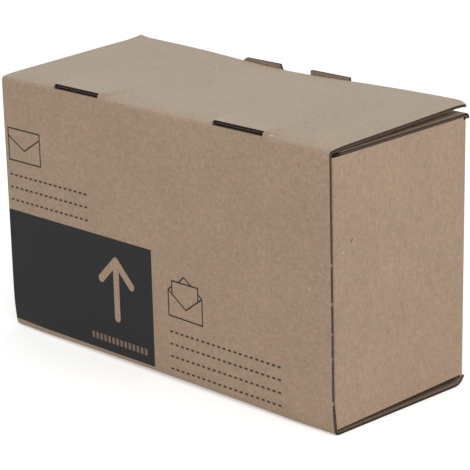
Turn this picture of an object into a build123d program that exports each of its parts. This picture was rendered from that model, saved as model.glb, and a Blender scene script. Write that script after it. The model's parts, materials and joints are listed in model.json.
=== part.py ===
from build123d import *
import math
import os

# Overall size of the closed box in millimetres, Z up from the ground
length = 232.0
depth = 96.0
height = 136.0

# Corrugated board, and the play left between two layers of it
board = 1.5
layer_gap = 0.3

# Folds of the wrap and of the end panels, measured on the outside
front_bottom_radius = 4.5
back_bottom_radius = 8.0
back_top_radius = 3.0
side_back_radius = 3.5
side_front_radius = 2.0

# Soft run where the front panel leans back above its bottom fold
sag_height = 22.0
sag_radius = 77.0

# Inner top flap, which springs up a little towards the back
flap_rise = 1.7
flap_corner = 6.0

# End panels: the open gap under each one grows from front to back
side_gap_front = 2.8
side_gap_back = 5.6
side_lean = 2.6
return_width = 38.0
return_taper = 9.0

# Lid flap, lifted along its free edge and curled up at both back corners
crease_gap = 0.25
tab_clearance = 0.5
lid_soft_rise = 0.6
lid_soft_run = 4.0
lid_rise = 3.1
lid_curl = 2.2
lid_tip_curl = 1.1
lid_tip_droop = 1.3
lid_tip_spread = 7.0
lid_corner_width = 4.5
lid_corner_depth = 2.5

# Two slots on the front top fold
slot_inner = 41.0
slot_width = 33.0
slot_depth = 1.9

# Two tabs that stand up behind the free edge of the lid flap
tab_offset = 2.8
tab_inner = 9.2
tab_width = 28.8
tab_rise = 5.4
tab_slit = 0.3
tab_chamfer_width = 3.0
tab_chamfer_height = 2.2
tab_hook = 1.2
tab_hook_height = 2.0

# Reach of the cutting blocks past the outside of the box
spare = 5.0

# Heights, depths and angles that follow from the sizes above
half_length = length / 2
half_depth = depth / 2
axis_y = board / 2 - half_depth
axis_z = height - board / 2
inside_y = board + layer_gap - half_depth
sag_sine = (sag_height - front_bottom_radius) / (sag_radius - front_bottom_radius)
sag_angle = math.degrees(math.asin(sag_sine))
sag_cosine = math.cos(math.radians(sag_angle))
sag_setback = sag_radius * (1 - sag_cosine) + front_bottom_radius * sag_cosine
flap_top_front = height - board - layer_gap
flap_top_back = flap_top_front + flap_rise
flap_run = half_depth - back_top_radius - inside_y
flap_angle = math.degrees(math.atan2(flap_rise, flap_run))
flap_slope = flap_rise / flap_run
top_fold_z = flap_top_back - back_top_radius
tab_top = flap_top_back + tab_rise
side_fold_x = half_length - side_back_radius
side_fold_y = half_depth - side_back_radius
lid_root_y = axis_y + board / 2 + crease_gap
lid_back_y = half_depth - board - tab_clearance
lid_run = lid_back_y - lid_root_y


def board_path(start, heading, legs, inset):
    # One face of the board, followed at a constant inset from its outside
    edges = []
    direction = Vector(*heading)
    place = Vector(*start) + Vector(-direction.Y, direction.X) * inset
    for kind, size, angle in legs:
        if kind == "run":
            edge = Line(place, place + direction * size)
        else:
            edge = JernArc(place, direction, size - inset, angle)
        edges.append(edge)
        place = edge @ 1
        direction = edge % 1
    return edges


def board_section(start, heading, legs, rounded=False):
    # Section of a bent board that turns to the left, outside on the right
    outside = board_path(start, heading, legs, 0)
    inside = board_path(start, heading, legs, board)
    first = outside[0] @ 0
    second = inside[0] @ 0
    if rounded:
        crown = (first + second) / 2 - Vector(*heading) * (board / 2)
        front_cap = ThreePointArc(first, crown, second)
    else:
        front_cap = Line(first, second)
    end_cap = Line(outside[-1] @ 1, inside[-1] @ 1)
    return make_face(outside + inside + [front_cap, end_cap])


def block(x_range, y_range, z_range):
    # Plain block between two corners, used to cut and to limit
    sizes = [high - low for low, high in (x_range, y_range, z_range)]
    middle = [(high + low) / 2 for low, high in (x_range, y_range, z_range)]
    return Pos(*middle) * Box(*sizes)


def prism_along_x(points, reach):
    # Outline in Y and Z, carried both ways along X
    return extrude(Plane.YZ * make_face(Polyline(*points, close=True)), amount=reach, both=True)


def wrap_sheet():
    # Front panel, bottom, back panel and inner top flap as one bent strip
    legs = [
        ("run", axis_z - sag_height, 0),
        ("turn", sag_radius, sag_angle),
        ("turn", front_bottom_radius, 90 - sag_angle),
        ("run", depth - sag_setback - back_bottom_radius, 0),
        ("turn", back_bottom_radius, 90),
        ("run", top_fold_z - back_bottom_radius, 0),
        ("turn", back_top_radius, 90 + flap_angle),
        ("run", flap_run / math.cos(math.radians(flap_angle)), 0),
    ]
    section = board_section((-half_depth, axis_z), (0, -1), legs, rounded=True)
    sheet = extrude(Plane.YZ * section, amount=half_length, both=True)
    back_range = (half_depth - board - spare, half_depth + spare)
    for side in (-1, 1):
        ends = sorted((side * side_fold_x, side * (half_length + spare)))
        sheet -= block(ends, back_range, (back_bottom_radius, top_fold_z))
    return sheet


def flap_corners(sheet):
    # The free corners of the inner top flap are cut off at 45 degrees
    reach = flap_corner + spare
    for side in (-1, 1):
        corner = (side * half_length, inside_y)
        points = [
            (corner[0] + side * spare, corner[1] - layer_gap / 2),
            (corner[0] + side * spare, corner[1] + reach),
            (corner[0] - side * flap_corner, corner[1] - layer_gap / 2),
        ]
        outline = make_face(Polyline(*points, close=True))
        cut_low = flap_top_front - board - layer_gap
        sheet -= Pos(0, 0, cut_low) * extrude(outline, amount=2 * board)
    return sheet


def end_panel():
    # Right end panel with its back fold and the return behind the front panel
    legs = [
        ("run", return_width - side_front_radius, 0),
        ("turn", side_front_radius, 90),
        ("run", side_fold_y - inside_y - side_front_radius, 0),
        ("turn", side_back_radius, 90),
    ]
    section = board_section((half_length - return_width, inside_y), (1, 0), legs)
    panel = extrude(section, amount=height)
    top_front = flap_top_front - board - layer_gap
    top_back = top_front + flap_slope * (side_fold_y - inside_y)
    above = [
        (-half_depth, top_front),
        (inside_y, top_front),
        (side_fold_y, top_back),
        (side_fold_y, top_fold_z - layer_gap),
        (half_depth + spare, top_fold_z - layer_gap),
        (half_depth + spare, height + spare),
        (-half_depth, height + spare),
    ]
    below = [
        (-half_depth, -spare),
        (-half_depth, side_gap_front),
        (side_fold_y, side_gap_back),
        (side_fold_y, back_bottom_radius + layer_gap),
        (half_depth + spare, back_bottom_radius + layer_gap),
        (half_depth + spare, -spare),
    ]
    lean = [
        (-half_depth, -spare),
        (-half_depth, sag_height + board),
        (inside_y, sag_height + board),
        (inside_y + side_lean, side_gap_front),
        (inside_y + side_lean, -spare),
    ]
    for outline in (above, below, lean):
        panel -= prism_along_x(outline, half_length + spare)
    return panel - return_ends()


def return_ends():
    # Both ends of the return are cut to a taper towards its free edge
    fold_x = half_length - side_front_radius
    free_x = half_length - return_width - spare
    low = sag_height + 2 * board
    high = flap_top_front - board - layer_gap
    bottom = [(fold_x, -spare), (fold_x, low), (free_x, low + return_taper), (free_x, -spare)]
    top = [(fold_x, high + spare), (fold_x, high), (free_x, high - return_taper), (free_x, high + spare)]
    cuts = []
    for outline in (bottom, top):
        face = make_face(Polyline(*outline, close=True))
        cuts.append(Pos(0, axis_y, 0) * extrude(Plane.XZ * face, amount=-2 * (board + side_lean)))
    return cuts[0] + cuts[1]


def cut_slots(sheet):
    # Two long slots on the front top fold, cut out of the front panel's edge
    for side in (-1, 1):
        ends = sorted((side * slot_inner, side * (slot_inner + slot_width)))
        sheet -= block(ends, (-half_depth - spare, lid_root_y), (height - slot_depth, height + spare))
    return sheet


def tab_outline(side):
    # Left tab with both corners cut off, right tab with a small hook outside
    inner = tab_offset + side * tab_inner
    outer = tab_offset + side * (tab_inner + tab_width)
    shoulder = tab_top - tab_chamfer_height
    if side < 0:
        points = [
            (inner, top_fold_z),
            (inner, shoulder),
            (inner - tab_chamfer_width, tab_top),
            (outer + tab_chamfer_width, tab_top),
            (outer, shoulder),
            (outer, top_fold_z),
        ]
    else:
        points = [
            (inner, top_fold_z),
            (inner, tab_top),
            (outer + tab_hook, tab_top),
            (outer + tab_hook, tab_top - tab_hook_height),
            (outer, tab_top - tab_hook_height),
            (outer, top_fold_z),
        ]
    return make_face(Polyline(*points, close=True))


def raise_tabs(sheet):
    # Each tab is cut out of the inner top flap and stays upright on the back
    bend = (back_top_radius - board / 2) * math.pi / 2
    opening = tab_top - top_fold_z - bend
    y_range = (half_depth - back_top_radius - opening, half_depth + spare)
    for side in (-1, 1):
        low = tab_offset + side * (tab_inner - tab_slit)
        high = tab_offset + side * (tab_inner + tab_width + tab_slit)
        if side > 0:
            high += tab_hook
        sheet -= block(sorted((low, high)), y_range, (top_fold_z, height + spare))
    for side in (-1, 1):
        tab = extrude(Plane.XZ * tab_outline(side), amount=-board)
        sheet += Pos(0, half_depth - board, 0) * tab
    return sheet


def lid_height(x, y):
    # Height of the lid flap's upper face over the ground
    run = max(0.0, (y - lid_root_y) / lid_run)
    rise = lid_soft_rise * (1 - math.exp(-max(0.0, y - lid_root_y) / lid_soft_run))
    rise += lid_rise * run
    rise += lid_curl * (x / half_length) ** 2 * run ** 2
    left = math.hypot(x + half_length, y - lid_back_y) / lid_tip_spread
    right = math.hypot(x - half_length, y - lid_back_y) / lid_tip_spread
    rise += lid_tip_curl * math.exp(-left ** 2)
    rise -= lid_tip_droop * math.exp(-right ** 2)
    return height + rise


def lid_flap():
    # Outer top flap: a curled sheet cut to its outline and to the slots
    columns = 33
    rows = 17
    reach_x = half_length + board
    first_y = lid_root_y - board
    last_y = lid_back_y + board
    grid = []
    for column in range(columns):
        x = -reach_x + 2 * reach_x * column / (columns - 1)
        line = []
        for row in range(rows):
            y = first_y + (last_y - first_y) * row / (rows - 1)
            line.append(Vector(x, y, lid_height(x, y)))
        grid.append(line)
    upper = Face.make_surface_from_array_of_points(grid, tol=0.02)
    slab = Solid.extrude(upper, Vector(0, 0, -board))
    corners = [
        (-half_length, lid_root_y),
        (half_length, lid_root_y),
        (half_length, lid_back_y - lid_corner_depth),
        (half_length - lid_corner_width, lid_back_y),
        (-half_length, lid_back_y),
    ]
    outline = make_face(Polyline(*corners, close=True))
    return slab & extrude(outline, amount=2 * height)


def box_body():
    # The blank folded up, without its lid flap
    right = end_panel()
    body = wrap_sheet() + right + mirror(right, about=Plane.YZ)
    return raise_tabs(cut_slots(flap_corners(body)))


def export(solid, node):
    solid.label = node
    export_step(solid, "parts/" + node + ".step")


os.makedirs("parts", exist_ok=True)
export(box_body(), "box_body")
export(lid_flap(), "lid_flap")
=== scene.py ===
import json
import math
import bmesh
import bpy
from mathutils import Matrix, Vector


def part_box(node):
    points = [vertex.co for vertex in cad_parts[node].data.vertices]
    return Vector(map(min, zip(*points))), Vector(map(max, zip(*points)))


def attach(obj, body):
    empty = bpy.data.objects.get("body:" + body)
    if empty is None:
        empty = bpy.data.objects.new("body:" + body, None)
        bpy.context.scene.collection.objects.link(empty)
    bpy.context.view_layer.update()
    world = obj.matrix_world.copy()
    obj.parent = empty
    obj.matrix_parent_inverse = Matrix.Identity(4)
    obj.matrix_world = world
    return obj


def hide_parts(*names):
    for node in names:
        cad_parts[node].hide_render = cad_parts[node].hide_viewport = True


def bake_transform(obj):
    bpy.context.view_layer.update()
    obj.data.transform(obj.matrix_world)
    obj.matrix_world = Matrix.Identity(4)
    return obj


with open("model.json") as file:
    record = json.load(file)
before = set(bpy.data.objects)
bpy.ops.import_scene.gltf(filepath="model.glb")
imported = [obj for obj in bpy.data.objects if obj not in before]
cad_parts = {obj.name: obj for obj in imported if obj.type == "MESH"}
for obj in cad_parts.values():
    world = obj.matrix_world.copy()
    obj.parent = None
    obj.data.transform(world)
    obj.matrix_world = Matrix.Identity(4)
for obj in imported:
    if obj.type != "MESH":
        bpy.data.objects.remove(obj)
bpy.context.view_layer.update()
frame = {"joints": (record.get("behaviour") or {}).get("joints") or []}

mm = 0.001

# how the fluted board is made up
board = {
    "thickness": 1.5 * mm,
    "liner": 0.26 * mm,
    "medium": 0.15 * mm,
    "flute": 3.3 * mm,
    "stepsPerFlute": 6,
}

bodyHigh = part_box("box_body")[1]
lidLow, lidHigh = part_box("lid_flap")
halfLength = bodyHigh.x
halfDepth = bodyHigh.y
hinge = Vector(frame["joints"][0]["pos_m"])
halfBoard = board["thickness"] / 2
frontTop = hinge.z + halfBoard
lidRoot = lidLow.y
lidBack = lidHigh.y
tabTop = bodyHigh.z

# outer radii of the folds, the front's soft run, the back panel's lean and the faces round each fold
folds = {
    "sagHeight": 22 * mm,
    "sagRadius": 77 * mm,
    "sagSteps": 6,
    "frontBottom": 3.4 * mm,
    "backBottom": 8 * mm,
    "backTop": 3 * mm,
    "sideBack": 4.2 * mm,
    "sideFront": 2 * mm,
    "crease": 1.75 * mm,
    "backLean": 1.6 * mm,
    "slitEnd": 4.4 * mm,
    "slitMargin": 0.18 * mm,
    "steps": 8,
}
flap = {"topFront": frontTop - 1.8 * mm, "rise": 1.7 * mm, "gap": 0.3 * mm, "corner": 6 * mm}
slots = {"inner": 41 * mm, "width": 33 * mm, "lip": 1.6 * mm}
tabs = {
    "left": (-35.2 * mm, -6.4 * mm),
    "right": (13.7 * mm, 39.0 * mm),
    "middle": 2.8 * mm,
    "opening": 4.9 * mm,
    "leftCut": (3 * mm, 2.2 * mm),
    "rightCut": (1.7 * mm, 3.2 * mm),
    "hook": 1.2 * mm,
    "hookHeight": 2 * mm,
}
endPanel = {
    "lowFront": 2.8 * mm,
    "lowBack": 5.6 * mm,
    "lean": 1.5 * mm,
    "frontStrip": 10 * mm,
    "returnWidth": 38 * mm,
    "returnTaper": 9 * mm,
}
lidShape = {
    "softRise": 0.6 * mm,
    "softRun": 4 * mm,
    "rise": 2.4 * mm,
    "curlLeft": 2.45 * mm,
    "curlRight": 2.0 * mm,
    "curlPower": 1.2,
    "dipSpread": 50 * mm,
    "tipCurl": 0.85 * mm,
    "tipDroop": 1.0 * mm,
    "tipSpread": 4.8 * mm,
    "slotPop": 2.0 * mm,
    "slotFade": 5.0 * mm,
    "popRun": 10 * mm,
    "fineRun": 12 * mm,
    "tear": 0.5 * mm,
    "tearPlace": 80 * mm,
    "tearSpread": 2.2 * mm,
    "cornerWidth": 4.7 * mm,
    "cornerDepth": 1.9 * mm,
    "ear": 1.6 * mm,
    "earStart": 42 * mm,
    "earPower": 4,
    "taper": 1.1 * mm,
    "taperRun": 26 * mm,
}
bottomBow = {"height": 1.1 * mm, "fade": 14 * mm}

# the share of the front's soft lean that stays at its two ends, where these begin along the box,
# how low in the bottom fold it still grows, and where it fades out towards the back
frontLean = {"atEnds": 0.5, "endsFrom": 0.76, "foldShare": 0.8, "fadeFrom": 0.25, "fadeRun": 0.5}

# how finely the sheets are divided
grid = {
    "columns": 58,
    "rows": 20,
    "fluteRows": 8,
    "lidColumns": 116,
    "lidRows": 18,
    "endRows": 26,
    "endFluteRows": 6,
    "returnColumns": 6,
    "sideColumns": 14,
    "tabColumns": 8,
    "tabRows": 2,
    "creaseRows": 10,
}

# how near counts as on an edge or a fold, and how far a cut keeps clear of one
slack = {"edge": 0.05 * mm, "fold": 0.01 * mm, "clear": 0.1 * mm}

topBack = flap["topFront"] + flap["rise"]
topFoldZ = topBack - folds["backTop"]
insideY = board["thickness"] + flap["gap"] - halfDepth
flapAngle = math.atan2(flap["rise"], halfDepth - folds["backTop"] - insideY)
panelTop = frontTop - folds["crease"]
sideFoldX = halfLength - folds["sideBack"]
sideFoldY = halfDepth - folds["sideBack"]
lidEar = lidBack + lidShape["ear"]
fullFlutes = int(2 * halfLength / board["flute"]) * board["stepsPerFlute"]  # columns, whole flutes only
backHeight = topFoldZ - folds["backBottom"]
leanAngle = math.atan2(folds["backLean"], backHeight)
radiusStep = folds["backTop"] - folds["backBottom"]
backRun = (backHeight - radiusStep * math.sin(leanAngle)) / math.cos(leanAngle)
topFoldY = halfDepth - folds["backTop"]
backFoldY = topFoldY + radiusStep * math.cos(leanAngle) - backRun * math.sin(leanAngle)


def clearSelection():
    for item in bpy.context.selected_objects:
        item.select_set(False)


def makeActive(piece):
    clearSelection()
    piece.select_set(True)
    bpy.context.view_layer.objects.active = piece


def openEdit(piece, part="VERT"):
    makeActive(piece)
    bpy.ops.object.mode_set(mode="EDIT")
    bpy.ops.mesh.select_mode(type=part)


def openWhole(piece):
    openEdit(piece)
    bpy.ops.mesh.select_all(action="SELECT")


def closeEdit():
    bpy.ops.object.mode_set(mode="OBJECT")


def pick(piece, wanted, part="VERT"):
    # selects the vertices, edges or faces whose middle passes the test
    bpy.ops.mesh.select_mode(type=part)
    bpy.ops.mesh.select_all(action="DESELECT")
    mesh = bmesh.from_edit_mesh(piece.data)
    found = 0
    for item in {"VERT": mesh.verts, "EDGE": mesh.edges, "FACE": mesh.faces}[part]:
        if part == "VERT":
            middle = item.co
        elif part == "EDGE":
            middle = (item.verts[0].co + item.verts[1].co) / 2
        else:
            middle = item.calc_center_median()
        if wanted(middle, item):
            item.select_set(True)
            found += 1
    mesh.select_flush_mode()
    bmesh.update_edit_mesh(piece.data)
    return found


def chain(name, start, end, steps):
    # a row of edges from start to end: one side of a grid
    clearSelection()
    bpy.ops.mesh.primitive_grid_add(x_subdivisions=steps, y_subdivisions=1, size=1)
    piece = bpy.context.active_object
    piece.name = name
    openEdit(piece)
    pick(piece, lambda place, item: place.y > 0)
    bpy.ops.mesh.delete(type="VERT")
    closeEdit()
    for vert in piece.data.vertices:
        vert.co = start + (end - start) * (vert.co.x + 0.5)  # the grid reaches from -0.5 to 0.5
    return piece


def wavy(piece, along, across):
    # pushes a chain into flutes, in the direction across
    reach = board["thickness"] / 2 - board["liner"] - board["medium"] / 2
    for vert in piece.data.vertices:
        turn = 2 * math.pi * vert.co.dot(along) / board["flute"]
        vert.co += across * reach * math.sin(turn)


def fluteSteps(length):
    # columns that show each flute of a short sheet
    return int(board["stepsPerFlute"] * length / board["flute"])


def push(offset, steps=1):
    # extrudes what is selected in equal steps
    for count in range(steps):
        bpy.ops.mesh.extrude_region_move(TRANSFORM_OT_translate={"value": offset / steps})


def fold(center, axis, angle, steps):
    bpy.ops.mesh.spin(steps=steps, angle=-angle, center=center, axis=axis)


def cutAt(place, normal, clear=False):
    bpy.ops.mesh.bisect(plane_co=place, plane_no=normal, clear_outer=clear, threshold=1e-6)


def splitColumns(piece, places):
    openEdit(piece)
    for place in places:
        bpy.ops.mesh.select_all(action="SELECT")
        cutAt((place, 0, 0), (1, 0, 0))
    closeEdit()


def dropFaces(piece, wanted):
    openEdit(piece, "FACE")
    if pick(piece, wanted, "FACE"):
        bpy.ops.mesh.delete(type="FACE")
    closeEdit()


def faceOut(piece, place, way):
    # turns the whole sheet so that the face nearest to a place looks the given way
    nearest = min(piece.data.polygons, key=lambda face: (face.center - place).length)
    if nearest.normal.dot(way) < 0:
        openWhole(piece)
        bpy.ops.mesh.flip_normals()
        closeEdit()


def thicken(piece, thickness, offset, hollowFirst=False):
    # two material slots, so that the side towards the flutes and the cut edge can be darker, with painted
    # shade between the layers
    piece.data.materials.append(None)
    piece.data.materials.append(None)
    makeActive(piece)
    solid = piece.modifiers.new("paper", "SOLIDIFY")
    solid.thickness = thickness
    solid.offset = offset
    solid.use_even_offset = True
    solid.material_offset = 1
    solid.material_offset_rim = 0 if hollowFirst else 1
    bpy.ops.object.modifier_apply(modifier=solid.name)


def smooth(piece, angle=40):
    makeActive(piece)
    bpy.ops.object.shade_smooth_by_angle(angle=math.radians(angle))


def joinAll(name, parts):
    clearSelection()
    for part in parts:
        part.select_set(True)
    bpy.context.view_layer.objects.active = parts[0]
    bpy.ops.object.join()
    parts[0].name = name
    return parts[0]


def wrapSheet(name, inset, steps, wave, rows):
    # front panel, bottom, back and inner flap, extruded and spun from one edge
    y = inset - halfDepth
    piece = chain(name, Vector((-halfLength, y, panelTop)), Vector((halfLength, y, panelTop)), steps)
    if wave:
        wavy(piece, Vector((1, 0, 0)), Vector((0, 1, 0)))
    axis = (1, 0, 0)
    reach = folds["sagRadius"] - folds["frontBottom"]
    sag = math.asin((folds["sagHeight"] - folds["frontBottom"]) / reach)
    sagY = folds["sagRadius"] - halfDepth
    low = Vector((0, sagY - reach * math.cos(sag), folds["sagHeight"] - reach * math.sin(sag)))
    openWhole(piece)
    push(Vector((0, 0, folds["sagHeight"] - panelTop)), rows)
    fold((0, sagY, folds["sagHeight"]), axis, sag, folds["sagSteps"])
    fold(low, axis, math.pi / 2 - sag, folds["steps"])
    push(Vector((0, backFoldY - low.y, 0)), rows // 2)
    fold((0, backFoldY, folds["backBottom"]), axis, math.pi / 2 - leanAngle, folds["steps"])
    push(Vector((0, backRun * math.sin(leanAngle), backRun * math.cos(leanAngle))), rows)
    topTurn = math.pi / 2 + leanAngle + flapAngle
    fold((0, topFoldY, topFoldZ), axis, topTurn, folds["steps"])
    run = (topFoldY - insideY) / math.cos(flapAngle)
    push(Vector((0, -run * math.cos(flapAngle), -run * math.sin(flapAngle))), rows // 2)
    closeEdit()
    trimWrap(piece)
    raiseLips(piece)
    return piece


def trimPart(piece, wanted, place, normal):
    # cuts the wanted faces along a plane and drops what lies beyond it
    place = Vector(place)
    normal = Vector(normal).normalized()
    openEdit(piece, "FACE")
    pick(piece, wanted, "FACE")
    cutAt(place, normal)
    closeEdit()
    dropFaces(piece, lambda middle, item: wanted(middle, item) and (middle - place).dot(normal) > 0)


def trimWrap(piece):
    # frees the back panel's side folds, cuts the tab openings and the flap's corners
    tabEnds = [*tabs["left"], *tabs["right"]]
    slotEnds = [side * (slots["inner"] + far * slots["width"]) for side in (-1, 1) for far in (0, 1)]
    splitColumns(piece, [-sideFoldX, sideFoldX] + tabEnds + slotEnds)
    openEdit(piece, "FACE")
    pick(piece, lambda place, item: place.z > topFoldZ - folds["backTop"] and place.y > 0, "FACE")
    cutAt((0, topFoldY - tabs["opening"], 0), (0, 1, 0))
    closeEdit()

    def besideBack(place, item):
        below = place.z < topFoldZ - folds["slitMargin"]
        return below and abs(place.x) > sideFoldX and place.y > backFoldY

    def tabOpening(place, item):
        inX = any(low < place.x < high for low, high in (tabs["left"], tabs["right"]))
        return inX and place.z > topFoldZ and place.y > topFoldY - tabs["opening"]

    def innerFlap(place, item):
        return place.z > flap["topFront"] - 2 * board["thickness"] and place.y > insideY

    trimPart(piece, besideBack, (0, 0, folds["slitEnd"]), (0, 0, 1))
    dropFaces(piece, tabOpening)
    for side in (-1, 1):
        trimPart(piece, innerFlap, (side * (halfLength - flap["corner"]), insideY, 0), (side, -1, 0))


def raiseLips(piece):
    # in the slots the front panel's edge stands up to its full height
    openEdit(piece, "EDGE")

    def slotEdge(place, item):
        inX = slots["inner"] < abs(place.x) < slots["inner"] + slots["width"]
        atTop = abs(place.z - panelTop) < slack["edge"] and place.y < 0
        return inX and atTop and item.is_boundary

    pick(piece, slotEdge, "EDGE")
    push(Vector((0, 0, slots["lip"])))
    closeEdit()


def tabSheet(name, side, inset, wave):
    # one standing tab; the left one has both corners cut, the right one a hook
    low, high = tabs["left"] if side < 0 else tabs["right"]
    reach = high + (tabs["hook"] if side > 0 else 0)
    y = halfDepth - inset
    steps = fluteSteps(reach - low) if wave else grid["tabColumns"]
    piece = chain(name, Vector((low, y, topFoldZ)), Vector((reach, y, topFoldZ)), steps)
    if wave:
        wavy(piece, Vector((1, 0, 0)), Vector((0, -1, 0)))
    openWhole(piece)
    push(Vector((0, 0, tabTop - tabs["hookHeight"] - topFoldZ)), grid["tabRows"])
    push(Vector((0, 0, tabs["hookHeight"])), grid["tabRows"])
    bpy.ops.mesh.select_all(action="SELECT")
    if side < 0:
        width, height = tabs["rightCut"]
        cutAt((high, 0, tabTop - height), (height, 0, width), clear=True)
        bpy.ops.mesh.select_all(action="SELECT")
        width, height = tabs["leftCut"]
        cutAt((low, 0, tabTop - height), (-height, 0, width), clear=True)
    else:
        cutAt((high, 0, 0), (1, 0, 0))
    closeEdit()
    if side > 0:
        dropFaces(piece, lambda place, item: place.x > high and place.z < tabTop - tabs["hookHeight"])
    return piece


def endSheet(name, side, inset):
    # end panel with its back fold, its front fold and the return behind the front
    returnEnd = side * (halfLength - endPanel["returnWidth"])
    low = Vector((returnEnd, insideY + inset, 0))
    high = Vector((returnEnd, insideY + inset, topBack))
    piece = chain(name, low, high, grid["endRows"])
    axis = (0, 0, side)
    frontX = side * (halfLength - folds["sideFront"])
    openWhole(piece)
    push(Vector((frontX - returnEnd, 0, 0)), grid["returnColumns"])
    fold((frontX, insideY + folds["sideFront"], 0), axis, math.pi / 2, folds["steps"])
    push(Vector((0, sideFoldY - insideY - folds["sideFront"], 0)), grid["sideColumns"])
    fold((side * sideFoldX, sideFoldY, 0), axis, math.pi / 2, folds["steps"])
    closeEdit()
    leanBack(piece)
    trimEnd(piece, side)
    return piece


def leanBack(piece):
    # the end panel's back fold leans in with the back panel
    for vert in piece.data.vertices:
        if vert.co.y > sideFoldY - slack["fold"]:
            vert.co.y -= folds["backLean"] * (topFoldZ - vert.co.z) / backHeight


def trimEnd(piece, side):
    # slopes of the end panel's top, bottom and front edges, and the return's taper
    rise = flap["rise"] / (topFoldY - insideY)
    topFront = flap["topFront"] - board["thickness"] - flap["gap"]
    lowSlope = (endPanel["lowBack"] - endPanel["lowFront"]) / (sideFoldY + halfDepth)
    foldX = halfLength - folds["sideFront"] - slack["clear"]
    taper = endPanel["returnTaper"] / (endPanel["returnWidth"] - folds["sideFront"])
    lean = endPanel["lean"] / folds["sagHeight"]

    def backFold(place, item):
        return place.y > sideFoldY - folds["backLean"]

    def flatPart(place, item):
        return not backFold(place, item)

    def frontPart(place, item):
        return place.y < insideY + endPanel["frontStrip"]

    def returnPart(place, item):
        return abs(place.x) < foldX and place.y < 0

    trimPart(piece, flatPart, (0, insideY, topFront), (0, -rise, 1))
    trimPart(piece, flatPart, (0, -halfDepth, endPanel["lowFront"]), (0, lowSlope, -1))
    trimPart(piece, backFold, (0, 0, folds["slitEnd"] + flap["gap"]), (0, 0, -1))
    trimPart(piece, backFold, (0, 0, topFoldZ - flap["gap"]), (0, 0, 1))
    trimPart(piece, frontPart, (0, insideY, folds["sagHeight"] + board["thickness"]), (0, -1, -lean))
    low = (side * foldX, 0, folds["sagHeight"] + 2 * board["thickness"])
    trimPart(piece, returnPart, low, (-side * taper, 0, -1))
    trimPart(piece, returnPart, (side * foldX, 0, topFront), (-side * taper, 0, 1))


def endFlutes(name, side):
    # flutes of the flat part of an end panel, upright as on the back panel
    x = side * (halfLength - halfBoard)
    start = Vector((x, insideY + folds["sideFront"], 0))
    end = Vector((x, sideFoldY - folds["backLean"] - slack["clear"], 0))
    piece = chain(name, start, end, fluteSteps(end.y - start.y))
    wavy(piece, Vector((0, 1, 0)), Vector((1, 0, 0)))
    openWhole(piece)
    push(Vector((0, 0, topBack)), grid["endFluteRows"])
    closeEdit()
    trimEnd(piece, side)
    return piece


def smoothStep(value):
    value = min(1.0, max(0.0, value))
    return value * value * (3 - 2 * value)


def slotPop(x):
    # beside and over the slots the lid stands a little higher
    middle = slots["inner"] + slots["width"] / 2
    outside = abs(abs(x) - middle) - slots["width"] / 2
    pop = lidShape["slotPop"] * (1 - smoothStep(outside / lidShape["slotFade"]))
    tear = math.exp(-((x - lidShape["tearPlace"]) / lidShape["tearSpread"]) ** 2)
    return pop + lidShape["tear"] * tear


def lidLift(x, y):
    # how far the lid's sheet stands over the level of the crease
    run = max(0.0, (y - lidRoot) / (lidBack - lidRoot))
    lift = lidShape["softRise"] * (1 - math.exp(-max(0.0, y - lidRoot) / lidShape["softRun"]))
    curl = lidShape["curlLeft"] if x < 0 else lidShape["curlRight"]
    dip = 1 - math.exp(-(x / lidShape["dipSpread"]) ** 2)
    lift += lidShape["rise"] * run + curl * dip * run ** lidShape["curlPower"]
    left = math.hypot(x + halfLength, y - lidEar) / lidShape["tipSpread"]
    right = math.hypot(x - halfLength, y - lidEar) / lidShape["tipSpread"]
    lift += lidShape["tipCurl"] * math.exp(-left ** 2) - lidShape["tipDroop"] * math.exp(-right ** 2)
    return lift + slotPop(x) * math.exp(-max(0.0, y - lidRoot) / lidShape["popRun"])


def lidSheet(name, inset, steps, wave, rows):
    # the lid flap: laid out flat, cut to its outline, then lifted
    z = frontTop - inset
    piece = chain(name, Vector((-halfLength, lidRoot, z)), Vector((halfLength, lidRoot, z)), steps)
    if wave:
        wavy(piece, Vector((1, 0, 0)), Vector((0, 0, -1)))
    openWhole(piece)
    push(Vector((0, lidShape["fineRun"], 0)), rows // 2)
    push(Vector((0, lidBack - lidRoot - lidShape["fineRun"], 0)), rows)
    closeEdit()
    for vert in piece.data.vertices:
        flareEdge(vert)
    openWhole(piece)
    slope = (lidShape["cornerDepth"], lidShape["cornerWidth"], 0)
    cutAt((halfLength - lidShape["cornerWidth"], lidEar, 0), slope, clear=True)
    closeEdit()
    for vert in piece.data.vertices:
        vert.co.z += lidLift(vert.co.x, vert.co.y)
    return piece


def flareEdge(vert):
    # the free edge runs a little further back at both ends, and narrows on the left
    reach = halfLength - tabs["middle"] - lidShape["earStart"]
    out = max(0.0, abs(vert.co.x - tabs["middle"]) - lidShape["earStart"]) / reach
    run = max(0.0, (vert.co.y - lidRoot) / (lidBack - lidRoot))
    vert.co.y += lidShape["ear"] * min(1.0, out) * run ** lidShape["earPower"]
    narrow = max(0.0, 1 - (lidEar - vert.co.y) / lidShape["taperRun"])
    if vert.co.x < 0:
        vert.co.x *= 1 - lidShape["taper"] / halfLength * narrow


def creaseSheet(name, inner, ends):
    # the liner where it turns over the crease, on one stretch beside or between the slots
    steps = int((ends[1] - ends[0]) / mm)  # a column for each millimetre
    if inner:
        y = board["thickness"] - halfDepth
        turn = lidRoot - y
        start = Vector((0, y, panelTop))
    else:
        turn = folds["crease"]
        start = Vector((0, -halfDepth, panelTop))
    piece = chain(name, start + Vector((ends[0], 0, 0)), start + Vector((ends[1], 0, 0)), steps)
    openWhole(piece)
    fold((0, start.y + turn, panelTop), (-1, 0, 0), math.pi / 2, grid["creaseRows"])
    closeEdit()
    for vert in piece.data.vertices:
        share = (vert.co.z - panelTop) / turn
        vert.co.z += slotPop(vert.co.x) * share
    return piece


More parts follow.
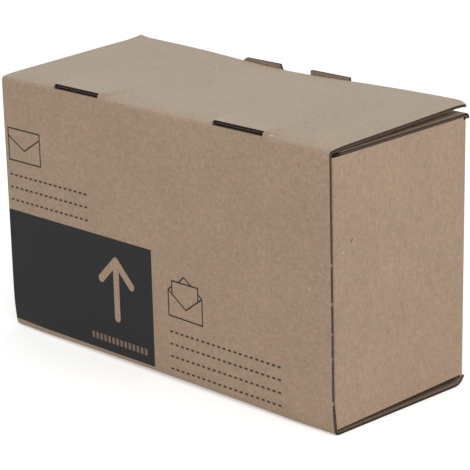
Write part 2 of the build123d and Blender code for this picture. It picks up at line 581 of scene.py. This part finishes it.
def bowBottom(piece):
    # the long bottom edges stand a little off the ground between their ends
    for vert in piece.data.vertices:
        share = max(0.0, 1 - vert.co.z / bottomBow["fade"])
        bow = bottomBow["height"] * (1 - (vert.co.x / halfLength) ** 2)
        vert.co.z += bow * smoothStep(share)


def straightenFront(piece):
    # the front panel leans back only near its two ends, and is upright between them
    for vert in piece.data.vertices:
        drop = max(0.0, folds["sagHeight"] - max(vert.co.z, folds["frontBottom"] * frontLean["foldShare"]))
        lean = folds["sagRadius"] - math.sqrt(folds["sagRadius"] ** 2 - drop ** 2)
        far = abs(vert.co.x) / halfLength - frontLean["endsFrom"]
        ends = smoothStep(far / (1 - frontLean["endsFrom"]))
        fade = (-halfDepth * frontLean["fadeFrom"] - vert.co.y) / (halfDepth * frontLean["fadeRun"])
        vert.co.y -= lean * (1 - frontLean["atEnds"] * ends) * smoothStep(fade)


def makePaper(piece, inset, wave):
    # gives a bent sheet the thickness of its own paper
    if wave:
        thicken(piece, board["medium"], 0)
    else:
        thicken(piece, board["liner"], -1, inset > 0)
    smooth(piece)


def blankLayer(name, inset, wave=False):
    # one paper layer of the whole blank: a liner, or the fluting between two
    columns = fullFlutes if wave else grid["columns"]
    rows = grid["fluteRows"] if wave else grid["rows"]
    parts = [wrapSheet(name, inset, columns, wave, rows)]
    straightenFront(parts[0])
    faceOut(parts[0], Vector((0, -halfDepth, frontTop / 2)), Vector((0, -1, 0)))
    for side in (-1, 1):
        tab = tabSheet(name + "_tab", side, inset, wave)
        faceOut(tab, Vector((0, halfDepth, tabTop)), Vector((0, 1, 0)))
        end = endFlutes(name + "_end", side) if wave else endSheet(name + "_end", side, inset)
        faceOut(end, Vector((side * halfLength, 0, frontTop / 2)), Vector((side, 0, 0)))
        parts += [tab, end]
    piece = joinAll(name, parts)
    bowBottom(piece)
    makePaper(piece, inset, wave)
    return piece


def lidLayer(name, inset, wave=False):
    columns = fullFlutes if wave else grid["lidColumns"]
    piece = lidSheet(name, inset, columns, wave, grid["fluteRows"] if wave else grid["lidRows"])
    faceOut(piece, Vector((0, 0, frontTop)), Vector((0, 0, 1)))
    makePaper(piece, inset, wave)
    return piece


innerFace = board["thickness"] - board["liner"]
blankOuter = blankLayer("blank_outer_liner", 0)
print("outer liner of the blank", len(blankOuter.data.polygons))
blankInner = blankLayer("blank_inner_liner", innerFace)
print("inner liner of the blank", len(blankInner.data.polygons))
blankFlutes = blankLayer("blank_fluting", halfBoard, wave=True)
print("fluting of the blank", len(blankFlutes.data.polygons))
lidOuter = lidLayer("lid_outer_liner", 0)
lidInner = lidLayer("lid_inner_liner", innerFace)
lidFlutes = lidLayer("lid_fluting", halfBoard, wave=True)
print("lid flap", len(lidOuter.data.polygons), len(lidFlutes.data.polygons))


def creaseLayer(name, inner):
    # the slots leave three stretches of the crease
    outer = slots["inner"] + slots["width"]
    stretches = [(-halfLength, -outer), (-slots["inner"], slots["inner"]), (outer, halfLength)]
    piece = joinAll(name, [creaseSheet(name, inner, ends) for ends in stretches])
    faceOut(piece, Vector((0, -halfDepth, frontTop)), Vector((0, -1, 1)))
    thicken(piece, board["liner"], 1 if inner else -1)
    smooth(piece)
    return piece


creaseOuter = creaseLayer("crease_outer_liner", False)
creaseInner = creaseLayer("crease_inner_liner", True)
print("crease", len(creaseOuter.data.polygons))


class Value:
    # wraps a socket so that sums on it become Math nodes
    def __init__(self, tree, socket):
        self.tree = tree
        self.socket = socket

    def math(self, operation, first, second=None, clamp=False):
        node = self.tree.nodes.new("ShaderNodeMath")
        node.operation = operation
        node.use_clamp = clamp
        for slot, item in enumerate((first, second)):
            if isinstance(item, Value):
                self.tree.links.new(item.socket, node.inputs[slot])
            elif item is not None:
                node.inputs[slot].default_value = item
        return Value(self.tree, node.outputs[0])

    def __add__(self, other):
        return self.math("ADD", self, other)

    def __radd__(self, other):
        return self.math("ADD", other, self)

    def __sub__(self, other):
        return self.math("SUBTRACT", self, other)

    def __rsub__(self, other):
        return self.math("SUBTRACT", other, self)

    def __mul__(self, other):
        return self.math("MULTIPLY", self, other)

    def __rmul__(self, other):
        return self.math("MULTIPLY", other, self)

    def __truediv__(self, other):
        return self.math("DIVIDE", self, other)

    def __mod__(self, other):
        return self.math("FLOORED_MODULO", self, other)

    def __abs__(self):
        return self.math("ABSOLUTE", self)

    def sine(self):
        return self.math("SINE", self)

    def power(self, other):
        return self.math("POWER", self, other)

    def most(self, other):
        return self.math("MAXIMUM", self, other)

    def clamped(self):
        return self.math("MINIMUM", self, 1.0, clamp=True)

    def edge(self, soft):
        # 0 below zero and 1 above it, with a soft step
        return self.math("MULTIPLY", self, 1 / soft).math("ADD", self * (1 / soft), 0.5, clamp=True)


class Paint:
    # a material's node tree, with one call for any node
    def __init__(self, name):
        self.material = bpy.data.materials.new(name)
        self.material.use_nodes = True
        self.tree = self.material.node_tree
        self.shader = self.tree.nodes["Principled BSDF"]

    def node(self, kind, settings=None, sockets=None):
        node = self.tree.nodes.new(kind)
        for key, item in (settings or {}).items():
            setattr(node, key, item)
        for key, item in (sockets or {}).items():
            self.feed(node, key, item)
        return node

    def feed(self, node, key, item):
        if isinstance(item, Value):
            self.tree.links.new(item.socket, node.inputs[key])
        elif isinstance(item, bpy.types.NodeSocket):
            self.tree.links.new(item, node.inputs[key])
        else:
            node.inputs[key].default_value = item

    def value(self, node, output=0):
        return Value(self.tree, node.outputs[output])

    def vector(self, operation, sockets):
        return self.node("ShaderNodeVectorMath", {"operation": operation}, sockets)

    def blend(self, factor, first, second):
        node = self.node("ShaderNodeMix", {"data_type": "RGBA"}, {0: factor, 6: first, 7: second})
        return node.outputs[2]

    def surface(self, colour, height, strength):
        bump = self.node("ShaderNodeBump", sockets={"Strength": strength, "Distance": mm, "Height": height})
        self.feed(self.shader, "Base Color", colour)
        self.feed(self.shader, "Normal", bump.outputs[0])


def placeInMm(paint):
    # object coordinates in millimetres
    place = paint.node("ShaderNodeTexCoord").outputs["Object"]
    return paint.vector("SCALE", {0: place, "Scale": 1000.0}).outputs[0]


def noise(paint, place, stretch, detail, roughness):
    scaled = paint.vector("MULTIPLY", {0: place, 1: stretch})
    sockets = {"Vector": scaled.outputs[0], "Scale": 1.0, "Detail": detail, "Roughness": roughness}
    return paint.value(paint.node("ShaderNodeTexNoise", sockets=sockets))


# the printing, in millimetres across and up the front panel
printing = {
    "ink": (0.0085, 0.0085, 0.0105, 1),
    "cover": 0.99,
    "fibreShow": 0.05,
    "flatten": 0.6,
    "rougher": 0.12,
    "soft": 0.25,
    "reach": 0.9,
    "reachSoft": 0.2,
    "block": (-116.6, -5.2, 4.2, 65.2),
    "line": 0.8,
    "closedEnvelope": (-113.2, -87.9, 92.4, 109.4),
    "closedFlap": [(-113.2, 105.3), (-100.7, 98.6), (-87.9, 106.3)],
    "topDashes": (-113.4, -52.2, 16, 84.5, -6.8, 3),
    "lowDashes": (6.8, 83.2, 21, 26.1, -6.45, 4),
    "dashShare": 0.6,
    "dashHeight": 1.0,
    "dashSoft": 0.5,
    "envelope": [(6.4, 47.6), (6.5, 34.4), (30.4, 34.0), (30.4, 47.6)],
    "envelopeFlap": [(6.4, 47.6), (18.8, 39.4), (30.4, 47.6)],
    "letter": [(9.2, 45.4), (9.2, 52.6), (27.6, 52.6), (27.6, 45.4)],
    "letterPeak": [(14.1, 52.8), (17.9, 56.0), (22.8, 52.8)],
    "leftBit": [(6.4, 47.6), (9.2, 49.6)],
    "rightBit": [(30.4, 47.6), (27.6, 49.6)],
    "arrowStem": [(-32.2, 23.5), (-32.2, 53.0)],
    "arrowHead": [(-43.5, 42.5), (-32.2, 53.6), (-20.9, 42.5)],
    "arrowLine": 4.2,
    "bars": (-52.6, -10.6, 14, 10.6, 0, 1),
    "barShare": 0.62,
    "barHeight": 3.4,
    "barPale": 0.55,
}


def stroke(paint, place, start, end, width, soft):
    # 1 within half a width of the line from start to end
    step = tuple(Vector(end) - Vector(start))
    size = Vector(step).length_squared
    away = paint.vector("SUBTRACT", {0: place, 1: start}).outputs[0]
    run = paint.value(paint.vector("DOT_PRODUCT", {0: away, 1: step}), "Value")
    share = run.math("MULTIPLY", run, 1 / size, clamp=True)
    foot = paint.vector("SCALE", {0: step, "Scale": share}).outputs[0]
    gap = paint.value(paint.vector("DISTANCE", {0: away, 1: foot}), "Value")
    return (width / 2 - gap).edge(soft)


def strokes(paint, place, points, width, soft):
    # a line through points given across and up the front panel
    mask = None
    places = [(point[0], 0, point[1]) for point in points]
    for start, end in zip(places, places[1:]):
        line = stroke(paint, place, start, end, width, soft)
        mask = line if mask is None else mask.most(line)
    return mask


def patch(x, z, limits, soft):
    # a filled rectangle between its left, right, low and high limits
    left, right, low, high = limits
    return (x - left).edge(soft) * (right - x).edge(soft) * (z - low).edge(soft) * (high - z).edge(soft)


def dashes(x, z, row, share, height, soft):
    # rows of dashes: the two ends, the dashes in a row, the first row's height, the step and the rows
    left, right, count, top, step, rows = row
    pitch = (right - left) / (count - 1 + share)
    cell = abs((x - left) % pitch - pitch * share / 2)
    mask = (pitch * share / 2 - cell).edge(soft)
    mask = mask * (x - left + soft).edge(soft) * (right - x + soft).edge(soft)
    lines = None
    for number in range(rows):
        line = (height / 2 - abs(z - (top + number * step))).edge(soft)
        lines = line if lines is None else lines.most(line)
    return mask * lines


def printMask(paint, flat, x, y, z):
    # the front panel's printing: ink where it is 1
    soft = printing["soft"]
    line = printing["line"]
    block = patch(x, z, printing["block"], soft)
    arrow = strokes(paint, flat, printing["arrowHead"], printing["arrowLine"], soft)
    arrow = arrow.most(strokes(paint, flat, printing["arrowStem"], printing["arrowLine"], soft))
    bars = dashes(x, z, printing["bars"], printing["barShare"], printing["barHeight"], soft)
    ink = block * (1 - arrow) * (1 - printing["barPale"] * bars)
    left, right, low, high = printing["closedEnvelope"]
    frameLine = [(left, high), (right, high), (right, low), (left, low), (left, high)]
    ink = ink.most(strokes(paint, flat, frameLine, line, soft))
    for shape in ("closedFlap", "envelope", "envelopeFlap", "letter", "letterPeak", "leftBit", "rightBit"):
        ink = ink.most(strokes(paint, flat, printing[shape], line, soft))
    share = printing["dashShare"]
    height = printing["dashHeight"]
    for shape in ("topDashes", "lowDashes"):
        ink = ink.most(dashes(x, z, printing[shape], share, height, printing["dashSoft"]))
    sag = (folds["sagHeight"] / mm - z).most(0.0).power(2.0) / (2 * folds["sagRadius"] / mm)
    depth = y + halfDepth / mm - sag
    return ink * (printing["reach"] - depth).edge(printing["reachSoft"])


# the board's faces; a noise is its scale in each direction, its detail and its roughness
kraft = {
    "warm": (0.412, 0.264, 0.186, 1),
    "olive": (0.328, 0.256, 0.17, 1),
    "darkFleckAndShade": (0.13, 0.085, 0.06, 1),
    "paleFleckAndHighlight": (0.56, 0.46, 0.37, 1),
    "cloud": ((0.025, 0.025, 0.025), 2.0, 0.5),
    "hue": ((0.3, 0.3, 0.26), 3.0, 0.6),
    "fibre": ((0.9, 0.85, 0.42), 2.0, 0.6),
    "cross": ((0.35, 0.8, 0.9), 2.0, 0.6),
    "specks": ((0.7, 0.7, 0.7), 1.0, 0.5),
    "crossShare": 0.8,
    "cloudShare": 0.35,
    "darkAbove": 0.76,
    "darkStrength": 0.5,
    "paleBelow": 0.235,
    "paleStrength": 0.4,
    "speckSoft": 0.04,
    "roughness": 0.7,
    "roughSpread": 0.2,
    "specular": 0.4,
    "sheen": 0.36,
    "sheenRoughness": 0.45,
    "sheenTint": (0.9, 1.0, 0.92, 1),
    "ribs": 0.012,
    "sideFrom": 1.6,
    "sideSoft": 0.2,
    "grain": 0.05,
    "bump": 0.6,
    "mottle": 1.7,
    "light": 0.54,
}

# single marks, as two ends in millimetres, a width and a strength. Most are flecks and nicks in the paper;
# on the wrinkle beside the right slot they are a painted shade line and a painted highlight over pale torn
# paper
marks = {
    "soft": 0.5,
    "dark": [
        ((96.4, -48, 126.7), (97.0, -48, 126.8), 0.9, 0.5),
        ((116, -34.3, 91.3), (116, -33.6, 92.1), 1.1, 0.75),
        ((81.3, -26.9, 137.4), (81.9, -26.9, 137.4), 1.2, 0.55),
        # painted shade: these two dark strokes are the shaded side of the wrinkle beside the right slot
        ((76.6, -45.6, 137.7), (77.8, -44.9, 137.6), 1.0, 0.7),
        ((77.8, -44.9, 137.6), (79.6, -43.9, 136.8), 1.0, 0.65),
        ((-56, -46.6, 136.6), (-52.6, -46.9, 136.4), 0.5, 0.4),
    ],
    "pale": [
        ((102.4, -48, 69.1), (103.0, -48, 69.2), 0.8, 0.6),
        ((116, -40.0, 87.1), (116, -39.4, 87.2), 0.9, 0.6),
        # painted highlight on that wrinkle's lip, over pale torn paper
        ((78.0, -46.1, 136.7), (79.2, -45.6, 136.5), 1.5, 0.85),
        ((43.2, -45.4, 137.9), (45.4, -45.2, 137.9), 1.0, 0.7),
        ((116, -47.4, 82.7), (116, -47.4, 83.4), 0.9, 0.9),
        ((116, -47.4, 64.2), (116, -47.4, 64.8), 1.0, 0.9),
        ((116, -47.4, 49.9), (116, -47.4, 50.4), 0.8, 0.8),
        ((116, -47.4, 37.9), (116, -47.4, 38.4), 0.8, 0.8),
        ((116, -47.4, 15.9), (116, -47.4, 16.6), 1.1, 0.9),
    ],
}


def addMarks(paint, place, colour, kinds):
    for kind, tint in kinds:
        for start, end, width, strength in marks[kind]:
            mask = stroke(paint, place, start, end, width, marks["soft"]) * strength
            colour = paint.blend(mask, colour, tint)
    return colour


def kraftPaint(name, printed=False, shade=1.0, sheen=0.0):
    # brown liner: mottled in hue, with fibres both ways, specks, single marks and faint ribs
    paint = Paint(name)
    place = placeInMm(paint)
    parts = paint.node("ShaderNodeSeparateXYZ", sockets={0: place})
    x, y, z = [paint.value(parts, axis) for axis in range(3)]
    cloud = noise(paint, place, *kraft["cloud"])
    hue = noise(paint, place, *kraft["hue"])
    fibre = noise(paint, place, *kraft["fibre"])
    cross = noise(paint, place, *kraft["cross"])
    specks = noise(paint, place, *kraft["specks"])
    tone = 0.5 + (hue - 0.5) * kraft["mottle"]
    colour = paint.blend(tone.clamped(), kraft["olive"], kraft["warm"])
    grain = (fibre - 0.5) + (cross - 0.5) * kraft["crossShare"] + (cloud - 0.5) * kraft["cloudShare"]
    # shade darkens the whole colour; on the inner liner it is painted shade over a darker inside paper
    level = (1 + grain * kraft["light"]) * shade
    colour = paint.vector("SCALE", {0: colour, "Scale": level}).outputs[0]
    dark = (specks - kraft["darkAbove"]).edge(kraft["speckSoft"])
    pale = (kraft["paleBelow"] - specks).edge(kraft["speckSoft"])
    colour = paint.blend(dark * kraft["darkStrength"], colour, kraft["darkFleckAndShade"])
    colour = paint.blend(pale * kraft["paleStrength"], colour, kraft["paleFleckAndHighlight"])
    colour = addMarks(paint, place, colour, (("dark", kraft["darkFleckAndShade"]), ("pale", kraft["paleFleckAndHighlight"])))
    beyond = (abs(x) - (halfLength / mm - kraft["sideFrom"])).edge(kraft["sideSoft"])
    across = x * (1 - beyond) + y * beyond  # along X, but along Y on the end panels
    ribs = (across * (2 * math.pi * mm / board["flute"])).sine()
    height = ribs * kraft["ribs"] + ((fibre - 0.5) + (cross - 0.5)) * kraft["grain"]
    rough = kraft["roughness"] + kraft["roughSpread"] * (fibre - 0.5)
    if printed:
        flat = paint.vector("MULTIPLY", {0: place, 1: (1, 0, 1)})
        ink = printMask(paint, flat.outputs[0], x, y, z)
        cover = printing["cover"] - printing["fibreShow"] * (fibre - 0.5)
        colour = paint.blend(ink * cover, colour, printing["ink"])
        height = height * (1 - printing["flatten"] * ink)
        rough = rough + printing["rougher"] * ink
    paint.surface(colour, height, kraft["bump"])
    paint.feed(paint.shader, "Roughness", rough)
    paint.shader.inputs["Specular IOR Level"].default_value = kraft["specular"]
    paint.shader.inputs["Sheen Weight"].default_value = sheen
    paint.shader.inputs["Sheen Roughness"].default_value = kraft["sheenRoughness"]
    paint.shader.inputs["Sheen Tint"].default_value = kraft["sheenTint"]
    return paint.material


# the fluting and the cut edges, each between two colours, kept dark as painted shade of the hollows between
# the flutes over the raw paper's own darker tone
paperAndShadeColours = {
    "flute": ((0.04, 0.028, 0.022, 1), (0.1, 0.07, 0.053, 1)),
    "edge": ((0.06, 0.044, 0.036, 1), (0.17, 0.125, 0.098, 1)),
    "paleNickAndHighlight": (0.5, 0.42, 0.34, 1),
    "grain": ((1.3, 1.3, 0.7), 3.0, 0.65),
    "contrast": 2.2,
    "roughness": 0.85,
    "relief": 0.06,
    "bump": 0.5,
}


def paperAndShadePaint(name, colours):
    # fluting, cut edges and the liners' sides towards the flutes: coarser than the faces of the board, and
    # darker with painted shade of the hollows between the flutes over raw paper
    paint = Paint(name)
    place = placeInMm(paint)
    grain = noise(paint, place, *paperAndShadeColours["grain"])
    tone = 0.5 + (grain - 0.5) * paperAndShadeColours["contrast"]
    colour = paint.blend(tone.clamped(), colours[0], colours[1])
    # pale marks on the raw paper: nicks on the edges, and the wrinkle's painted highlight where it reaches
    # an edge
    colour = addMarks(paint, place, colour, [("pale", paperAndShadeColours["paleNickAndHighlight"])])
    paint.surface(colour, grain * paperAndShadeColours["relief"], paperAndShadeColours["bump"])
    paint.shader.inputs["Roughness"].default_value = paperAndShadeColours["roughness"]
    return paint.material


def giveMaterial(piece, *materials):
    # fills the slots that are there, and adds one where none is left
    for number, material in enumerate(materials):
        if number < len(piece.data.materials):
            piece.data.materials[number] = material
        else:
            piece.data.materials.append(material)


printedKraft = kraftPaint("printed_kraft", printed=True)
plainKraft = kraftPaint("plain_kraft", sheen=kraft["sheen"])
# the inner liner is a darker copy of the kraft: painted shade on the tabs' faces and inside the box,
# together with a darker inside paper
insideKraft = kraftPaint("inside_kraft", shade=0.78)
fluting = paperAndShadePaint("fluting_paper", paperAndShadeColours["flute"])
cutEdge = paperAndShadePaint("cut_edge", paperAndShadeColours["edge"])
for piece, first, second in (
    (blankOuter, printedKraft, cutEdge),
    (blankInner, cutEdge, insideKraft),
    (blankFlutes, fluting, fluting),
    (lidOuter, plainKraft, cutEdge),
    (lidInner, cutEdge, insideKraft),
    (lidFlutes, fluting, fluting),
    (creaseOuter, plainKraft, cutEdge),
    (creaseInner, insideKraft, cutEdge),
):
    giveMaterial(piece, first, second)
print("materials made")

for piece in (blankOuter, blankInner, blankFlutes):
    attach(piece, "body")
for piece in (lidOuter, lidInner, lidFlutes):
    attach(piece, "lid")
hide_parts("box_body")
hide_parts("lid_flap")
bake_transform(creaseOuter)
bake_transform(creaseInner)

# floor, light and camera
studio = {
    "floorSize": 6.0,
    "floorColour": (0.9, 0.9, 0.9, 1),
    "floorRoughness": 0.9,
    "floorGlow": 0.4,
    "worldLight": 0.665,
    "worldColour": (0.97, 0.99, 1.0, 1),
    "keyPower": 12.0,
    "keySize": 1.3,
    "keyPlace": (1.1, -1.0, 1.5),
    "fillPower": 4.5,
    "fillSize": 1.2,
    "fillPlace": (1.7, 0.3, 0.8),
    "lampColour": (1.0, 0.955, 0.9),
}
camera = {
    "azimuth": 46.243,
    "elevation": 17.064,
    "roll": -1.476,
    "distance": 1111.67 * mm,
    "target": (-10.56 * mm, 14.42 * mm, 57.35 * mm),
    "lens": 166.65,
    "sensor": 36,
    "clipStart": 0.05,
}


def seenDirectly(tree):
    # 1 for camera, glossy and transmission rays
    rays = tree.nodes.new("ShaderNodeLightPath").outputs
    direct = Value(tree, rays["Is Camera Ray"])
    mirrored = Value(tree, rays["Is Glossy Ray"])
    return direct.most(mirrored).most(Value(tree, rays["Is Transmission Ray"]))


def addFloor():
    # pale floor that looks white to the camera and still takes the shadow
    clearSelection()
    bpy.ops.mesh.primitive_plane_add(size=studio["floorSize"])
    floor = bpy.context.active_object
    floor.name = "floor"
    paint = Paint("floor_paint")
    paint.shader.inputs["Base Color"].default_value = studio["floorColour"]
    paint.shader.inputs["Roughness"].default_value = studio["floorRoughness"]
    paint.shader.inputs["Specular IOR Level"].default_value = 0.0
    white = {"Color": (1, 1, 1, 1), "Strength": studio["floorGlow"]}
    glow = paint.node("ShaderNodeEmission", sockets=white)
    both = paint.node("ShaderNodeAddShader", sockets={0: paint.shader.outputs[0], 1: glow.outputs[0]})
    seen = paint.node("ShaderNodeMixShader", sockets={0: seenDirectly(paint.tree)})
    paint.feed(seen, 1, paint.shader.outputs[0])
    paint.feed(seen, 2, both.outputs[0])
    paint.feed(paint.tree.nodes["Material Output"], "Surface", seen.outputs[0])
    giveMaterial(floor, paint.material)


def addWorld():
    # even light all round, and white where it is seen directly
    world = bpy.data.worlds.new("studio_world")
    bpy.context.scene.world = world
    world.use_nodes = True
    tree = world.node_tree
    tree.nodes.clear()
    light = tree.nodes.new("ShaderNodeBackground")
    light.inputs["Strength"].default_value = studio["worldLight"]
    light.inputs["Color"].default_value = studio["worldColour"]
    white = tree.nodes.new("ShaderNodeBackground")
    white.inputs["Color"].default_value = (1, 1, 1, 1)
    mix = tree.nodes.new("ShaderNodeMixShader")
    out = tree.nodes.new("ShaderNodeOutputWorld")
    tree.links.new(seenDirectly(tree).socket, mix.inputs[0])
    tree.links.new(light.outputs[0], mix.inputs[1])
    tree.links.new(white.outputs[0], mix.inputs[2])
    tree.links.new(mix.outputs[0], out.inputs[0])


def addLamp(name, power, size, place):
    lamp = bpy.data.lights.new(name, "AREA")
    lamp.energy = power
    lamp.size = size
    lamp.color = studio["lampColour"]
    item = bpy.data.objects.new(name, lamp)
    bpy.context.scene.collection.objects.link(item)
    item.location = place
    aim = Vector((0, 0, frontTop / 2)) - Vector(place)
    item.rotation_euler = aim.to_track_quat("-Z", "Y").to_euler()


def addCamera():
    item = bpy.data.objects.new("camera", bpy.data.cameras.new("camera"))
    bpy.context.scene.collection.objects.link(item)
    turn = Matrix.Rotation(math.radians(camera["azimuth"]), 4, "Z")
    tilt = Matrix.Rotation(math.radians(90 - camera["elevation"]), 4, "X")
    roll = Matrix.Rotation(math.radians(camera["roll"]), 4, "Z")
    place = Matrix.Translation(Vector(camera["target"]))
    back = Matrix.Translation(Vector((0, 0, camera["distance"])))
    item.matrix_world = place @ turn @ tilt @ roll @ back
    item.data.lens = camera["lens"]
    item.data.sensor_width = camera["sensor"]
    item.data.clip_start = camera["clipStart"]
    bpy.context.scene.camera = item


addFloor()
addWorld()
addLamp("key_lamp", studio["keyPower"], studio["keySize"], studio["keyPlace"])
addLamp("fill_lamp", studio["fillPower"], studio["fillSize"], studio["fillPlace"])
addCamera()
bpy.context.scene.view_settings.view_transform = "Standard"
print("studio ready")
